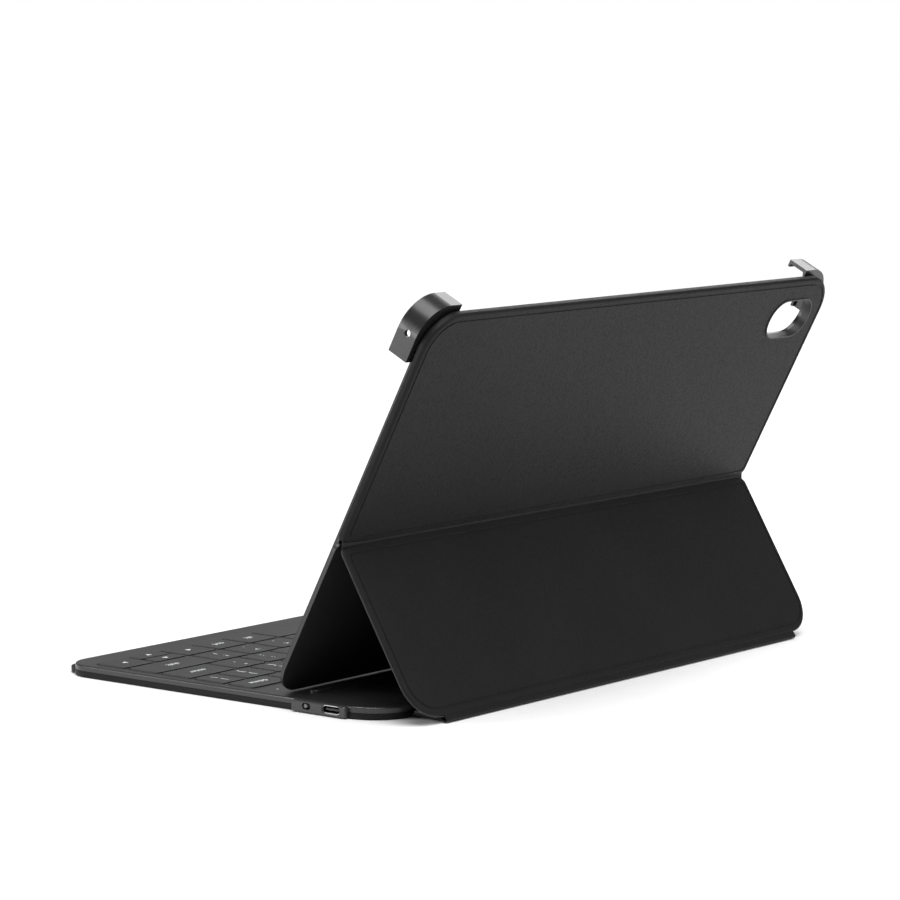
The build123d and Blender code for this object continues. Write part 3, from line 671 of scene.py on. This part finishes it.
tray_up = Vector((0, math.cos(TRAY_ANGLE), math.sin(TRAY_ANGLE)))
tray_in = Vector((0, -math.sin(TRAY_ANGLE), math.cos(TRAY_ANGLE)))
tray_place = panel_place(CREASE, tray_up, tray_in)


def camera_plate(grow, outer, inner):
    half_x, half_y = (h + grow for h in CAMERA_HALF)
    bm = rounded_plate(half_x, -half_y, half_y, outer, inner, CAMERA_RADIUS + grow, CAMERA_RADIUS + grow)
    bmesh.ops.translate(bm, verts=bm.verts, vec=(CAMERA_X, CAMERA_UP, 0))
    return bm


upper_leather = leather_piece(
    "upper_leather",
    leather_panel(CASE_HALF, 0.0006, 0.1005, 0.0, 0.0031, 0.003, 0.016, 0.0013, 0.0006),
    tray_place,
    "tray",
    [
        pressed_line(CASE_HALF - BORDER_INSET, 0.0028, 0.0983, 0.0, 0.003, 0.0138),
        camera_plate(0, -0.003, 0.006),
    ],
)
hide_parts("upper_skin")

# ---------------------------------------------------------------- crease leather
# Between the stand and the tray the leather runs on without a board behind it. It sinks into
# the gap between the boards and is the hinge that the case folds on.
def folded_strip(section, half, columns, thickness):
    bm = bmesh.new()
    verts = [bm.verts.new((-half, y, z)) for y, z in section]
    edges = [bm.edges.new(pair) for pair in zip(verts, verts[1:])]
    for _ in range(columns):
        grown = bmesh.ops.extrude_edge_only(bm, edges=edges)["geom"]
        moved = [v for v in grown if isinstance(v, bmesh.types.BMVert)]
        edges = [e for e in grown if isinstance(e, bmesh.types.BMEdge)]
        edges = [e for e in edges if all(v in moved for v in e.verts)]
        bmesh.ops.translate(bm, verts=moved, vec=(2 * half / columns, 0, 0))
    bmesh.ops.recalc_face_normals(bm, faces=bm.faces)
    bmesh.ops.solidify(bm, geom=bm.faces[:], thickness=thickness)
    return bm


def on_plane(origin, along, inward, distance, depth):
    point = origin + along * distance + inward * depth
    return point.y, point.z


SUNK = ((0.0022, 0.0008), (0.0013, 0.00065), (0.0007, 0.0005))
below = [on_plane(CREASE, -stand_up, stand_in, d, t) for d, t in SUNK]
above = [on_plane(CREASE, tray_up, tray_in, d, t) for d, t in reversed(SUNK)]
middle = [((below[-1][0] + above[0][0]) / 2, (below[-1][1] + above[0][1]) / 2)]
crease_strip = folded_strip(below + middle + above, CASE_HALF - 0.0008, 8, 0.0003)
crease_leather = leather_piece("crease_leather", crease_strip, Matrix.Identity(4))
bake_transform(crease_leather)

# ---------------------------------------------------------------- spine leather and its folds
# A narrower strip joins the stand's foot to the base. It is folded tightly round at the foot,
# where it makes a small rolled bead on the table, and passes under the base's rear edge.
SPINE_HALF = 0.120
SPINE_LENGTH = 0.016619
FOLD_RADIUS = 0.00095

spine_along = Vector((0, math.cos(SPINE_SLOPE), -math.sin(SPINE_SLOPE)))
spine_up = Vector((0, math.sin(SPINE_SLOPE), math.cos(SPINE_SLOPE)))
spine_place = panel_place(SPINE_AXIS, spine_along, spine_up)
spine_leather = leather_piece(
    "spine_leather",
    leather_panel(SPINE_HALF, 0.0006, SPINE_LENGTH - 0.002, -0.0008, 0.0004, 0.001, 0.001, 0.0005),
    spine_place,
    "spine",
)
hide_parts("spine_skin")

foot_start = FOOT_AXIS - spine_along * 0.0034 - spine_up * 0.0003
foot_section = [(foot_start.y, foot_start.z)]
for step in range(13):
    angle = math.radians(-92.8 + (30.8 + 92.8) * step / 12)
    foot_section.append((FOOT_AXIS.y + FOLD_RADIUS * math.cos(angle), FOOT_AXIS.z + FOLD_RADIUS * math.sin(angle)))
foot_end = FOOT_AXIS + stand_up * 0.0036 - stand_in * 0.0003
foot_section.append((foot_end.y, foot_end.z))
foot_fold = leather_piece("foot_fold", folded_strip(foot_section, SPINE_HALF, 8, 0.0005), Matrix.Identity(4))
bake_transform(foot_fold)

rear_section = [(0.0846, 0.00055), (0.0861, 0.0006), (0.0868, 0.00085), (0.0874, 0.0013), (0.0890, 0.0016)]
rear_fold = leather_piece("rear_fold", folded_strip(rear_section, SPINE_HALF, 8, 0.0004), Matrix.Identity(4))
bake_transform(rear_fold)

# ---------------------------------------------------------------- linings
# The inner faces of the stand and the spine have a brushed microfibre lining, glued over the
# turned-in leather.
def brushed_lining():
    material, tree, shader, place = started_material("brushed_lining")
    nap = node_in(tree, "ShaderNodeTexNoise")
    nap.inputs["Scale"].default_value = 2600.0
    nap.inputs["Detail"].default_value = 6.0
    tree.links.new(place, nap.inputs["Vector"])
    strokes = node_in(tree, "ShaderNodeTexNoise")
    strokes.inputs["Scale"].default_value = 60.0
    strokes.inputs["Distortion"].default_value = 1.5
    tree.links.new(place, strokes.inputs["Vector"])
    mixed = node_in(tree, "ShaderNodeMix", data_type="FLOAT")
    mixed.inputs["Factor"].default_value = 0.5
    tree.links.new(nap.outputs["Fac"], mixed.inputs[2])
    tree.links.new(strokes.outputs["Fac"], mixed.inputs[3])
    colour = ramp_between(tree, mixed.outputs[0], (0.01, 0.01, 0.011), (0.019, 0.019, 0.0205))
    tree.links.new(colour, shader.inputs["Base Color"])
    tree.links.new(spread_between(tree, nap.outputs["Fac"], 0.8, 0.95), shader.inputs["Roughness"])
    raised(tree, shader, nap.outputs["Fac"], 0.5, 0.0001)
    shader.inputs["Sheen Weight"].default_value = 0.3
    return material


finish_node(brushed_lining(), "spine_lining", "stand_lining")

# ---------------------------------------------------------------- tray and its backing
# The tray that grips the tablet is one hard moulding, its plate and its two corner clips in
# one smooth finish. A thin backing panel stiffens the half below the crease. Its own dark grey is
# deepened to near black as painted shade for the shadowed wedge between the stand and the tray.
finish_node(
    moulded_finish("tray_plastic", (0.009, 0.009, 0.0095), (0.014, 0.014, 0.0148), 1400.0, 0.24, 0.3, 0.05),
    "tray_shell",
)
# backing colour: its own dark grey deepened as painted shade for the shadowed wedge behind the tray
finish_node(
    moulded_finish("backing_panel", (0.012, 0.012, 0.0125), (0.02, 0.02, 0.021), 2600.0, 0.35, 0.5, 0.2),
    "tray_backing",
)

# ---------------------------------------------------------------- camera rim
# A thin satin rim is moulded round the camera opening and stands a little proud of the
# leather's cut edge.
RIM_WALL = 0.0006
RIM_FIT = 0.00005

rim_low, rim_high = -CAMERA_HALF[1] + RIM_FIT, CAMERA_HALF[1] - RIM_FIT
rim_radius = CAMERA_RADIUS - RIM_FIT
rim_bm = plate_with_window(
    RIM_WALL, CAMERA_HALF[0] - RIM_FIT, rim_low, rim_high, -0.0003, 0.0031, rim_radius, rim_radius
)
bmesh.ops.translate(rim_bm, verts=rim_bm.verts, vec=(CAMERA_X, CAMERA_UP, 0))
bmesh.ops.transform(rim_bm, matrix=tray_place, verts=rim_bm.verts)
rim_mesh = bpy.data.meshes.new("camera_rim")
rim_bm.to_mesh(rim_mesh)
rim_bm.free()
rim_mesh.materials.append(
    moulded_finish("rim_plastic", (0.008, 0.008, 0.009), (0.014, 0.014, 0.015), 2400.0, 0.42, 0.52, 0.08)
)
camera_rim = bpy.data.objects.new("camera_rim", rim_mesh)
bpy.context.scene.collection.objects.link(camera_rim)
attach(camera_rim, "tray")

# ---------------------------------------------------------------- floor, light and camera
# The case stands on a plain pale floor in a soft white studio, lit from above and behind.
ROOM_LIGHT = 0.3
BACKDROP_LIGHT = 1.0

floor_mesh = bpy.data.meshes.new("floor")
floor_bm = bmesh.new()
bmesh.ops.create_grid(floor_bm, x_segments=1, y_segments=1, size=60)
floor_bm.to_mesh(floor_mesh)
floor_bm.free()
floor_white, tree, shader, place = started_material("floor_white")
specks = node_in(tree, "ShaderNodeTexNoise")
specks.inputs["Scale"].default_value = 60.0
tree.links.new(place, specks.inputs["Vector"])
pale = ramp_between(tree, specks.outputs["Fac"], (0.9, 0.9, 0.9), (0.92, 0.92, 0.92))
tree.links.new(pale, shader.inputs["Base Color"])
shader.inputs["Roughness"].default_value = 0.7
floor_mesh.materials.append(floor_white)
floor = bpy.data.objects.new("floor", floor_mesh)
bpy.context.scene.collection.objects.link(floor)

bpy.context.scene.view_settings.view_transform = "Standard"
world = bpy.data.worlds.new("studio")
bpy.context.scene.world = world
world.use_nodes = True
seen = world.node_tree.nodes.new("ShaderNodeLightPath")
glow = world.node_tree.nodes.new("ShaderNodeMapRange")
glow.inputs["To Min"].default_value = ROOM_LIGHT
glow.inputs["To Max"].default_value = BACKDROP_LIGHT
backdrop = world.node_tree.nodes["Background"]
backdrop.inputs["Color"].default_value = (1, 1, 1, 1)
world.node_tree.links.new(seen.outputs["Is Camera Ray"], glow.inputs["Value"])
world.node_tree.links.new(glow.outputs["Result"], backdrop.inputs["Strength"])

sky_light = bpy.data.lights.new("sky_light", "SUN")
sky_light.energy = 3.0
sky_light.angle = math.radians(50)
sky_lamp = bpy.data.objects.new("sky_light", sky_light)
sky_lamp.rotation_euler = (math.radians(-12), math.radians(14), 0)
bpy.context.scene.collection.objects.link(sky_lamp)


def softbox(name, at, aim, width, height, power):
    light = bpy.data.lights.new(name, "AREA")
    light.shape = "RECTANGLE"
    light.size = width
    light.size_y = height
    light.energy = power
    lamp = bpy.data.objects.new(name, light)
    lamp.location = at
    lamp.rotation_euler = (Vector(aim) - Vector(at)).to_track_quat("-Z", "Y").to_euler()
    bpy.context.scene.collection.objects.link(lamp)


softbox("far_box", (-1.3, -0.45, 1.0), (0, 0.06, 0.08), 0.7, 0.7, 6)
softbox("side_box", (1.3, -0.9, 0.4), (0, 0.05, 0.07), 0.5, 0.5, 9)
softbox("rear_box", (-0.5, 1.5, 0.9), (0, 0.08, 0.08), 1.2, 0.5, 7)

camera_data = bpy.data.cameras.new("camera")
camera_data.lens = 143.16
camera_data.sensor_width = 36
camera = bpy.data.objects.new("camera", camera_data)
camera.location = (1.1583, 0.9289, 0.2615)
aim = Vector((-0.26679, -0.20085, 0.04527)) - camera.location
camera.rotation_euler = aim.to_track_quat("-Z", "Y").to_euler()
bpy.context.scene.collection.objects.link(camera)
bpy.context.scene.camera = camera
